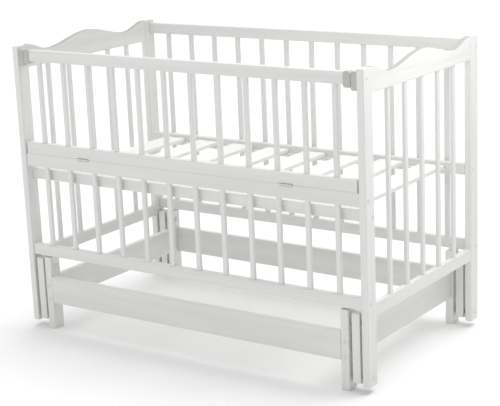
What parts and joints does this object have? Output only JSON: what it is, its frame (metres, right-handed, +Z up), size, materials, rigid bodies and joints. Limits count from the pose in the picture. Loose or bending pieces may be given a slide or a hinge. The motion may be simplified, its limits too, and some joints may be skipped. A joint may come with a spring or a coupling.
{
  "type": "baby crib",
  "caption": "White wooden baby crib with barred sides, wavy end boards and a folding front half, hung on links from a low stand so that it rocks crosswise.",
  "frame": {"origin": "on the floor, under the middle of the crib", "axes": "+X along the length towards the right end, -Y is the front with the drop side, +Z up"},
  "size_m": [1.243, 0.672, 0.908],
  "materials": {
    "white_paint": "satin white paint over wood",
    "white_paint_bars": "satin white paint over turned and rounded wood",
    "slat_wood": "thin white paint, grain showing",
    "dowel_wood": "bare wood",
    "grey_plastic": "satin moulded",
    "dark_plastic": "satin moulded",
    "spring_steel": "drawn wire",
    "zinc_steel": "zinc plated"
  },
  "bodies": {
    "stand": {"stand_back_board": "white_paint", "stand_barrel_nuts": "zinc_steel", "stand_bolts": "zinc_steel", "stand_front_board": "white_paint", "stand_left_board": "white_paint", "stand_leg_back_left": "white_paint", "stand_leg_back_right": "white_paint", "stand_leg_front_left": "white_paint", "stand_leg_front_right": "white_paint", "stand_right_board": "white_paint", "upper_pivot_bolts": "zinc_steel", "upper_pivot_nuts": "zinc_steel", "upper_pivot_spacers": "zinc_steel"},
    "front_rockers": {"front_links": "white_paint", "front_link_bushes": "dark_plastic"},
    "back_rockers": {"back_links": "white_paint", "back_link_bushes": "dark_plastic"},
    "cot": {"back_bars": "white_paint_bars", "back_bottom_rail": "white_paint", "back_top_rail": "white_paint", "base_rail_back": "white_paint", "base_rail_front": "white_paint", "end_bars": "white_paint_bars", "end_board_left": "white_paint", "end_board_right": "white_paint", "end_panel_dowels": "dowel_wood", "end_rail_left": "white_paint", "end_rail_right": "white_paint", "frame_barrel_nuts": "zinc_steel", "frame_bolts": "zinc_steel", "front_bottom_rail": "white_paint", "front_lower_bars": "white_paint_bars", "front_middle_rail": "white_paint", "hinge_lower_leaves": "zinc_steel", "hinge_lower_screws": "zinc_steel", "hinge_pins": "zinc_steel", "latch_keeper_left": "grey_plastic", "latch_keeper_right": "grey_plastic", "latch_keeper_screws": "zinc_steel", "ledger_strips": "white_paint", "lower_pivot_bolts": "zinc_steel", "lower_pivot_nuts": "zinc_steel", "lower_pivot_spacers": "zinc_steel", "post_back_left": "white_paint", "post_back_right": "white_paint", "post_front_left": "white_paint", "post_front_right": "white_paint", "slat_screws": "zinc_steel", "slats": "slat_wood"},
    "drop_side": {"drop_side_top_rail": "white_paint", "drop_side_bottom_rail": "white_paint", "drop_side_bars": "white_paint_bars", "hinge_upper_leaves": "zinc_steel", "hinge_upper_screws": "zinc_steel", "latch_housing_left": "grey_plastic", "latch_housing_right": "grey_plastic", "latch_housing_screws": "zinc_steel", "latch_springs": "spring_steel"},
    "left_latch": {"latch_bolt_left": "dark_plastic"},
    "right_latch": {"latch_bolt_right": "dark_plastic"}
  },
  "joints": [
    {"name": "rock", "type": "hinge", "parent": "stand", "child": "front_rockers", "pos_m": [0, -0.313, 0.203], "axis": [1, 0, 0], "range_deg": [-12, 12]},
    {"name": "cot_level", "type": "hinge", "parent": "front_rockers", "child": "cot", "pos_m": [0, -0.313, 0.045], "axis": [1, 0, 0], "range_deg": [-12, 12]},
    {"name": "back_rock", "type": "hinge", "parent": "stand", "child": "back_rockers", "pos_m": [0, 0.313, 0.203], "axis": [1, 0, 0], "range_deg": [-12, 12]},
    {"name": "side_fold", "type": "hinge", "parent": "cot", "child": "drop_side", "pos_m": [0, -0.3327, 0.566], "axis": [1, 0, 0], "range_deg": [0, 180]},
    {"name": "left_latch_slide", "type": "slide", "parent": "drop_side", "child": "left_latch", "axis": [1, 0, 0], "range_m": [0, 0.0065], "stiffness_N_per_m": 150, "springref_m": -0.004},
    {"name": "right_latch_slide", "type": "slide", "parent": "drop_side", "child": "right_latch", "axis": [-1, 0, 0], "range_m": [0, 0.0065], "stiffness_N_per_m": 150, "springref_m": -0.004}
  ],
  "couplings": [
    {"joint": "cot_level", "follows": "rock", "ratio": -1},
    {"joint": "back_rock", "follows": "rock", "ratio": 1}
  ]
}
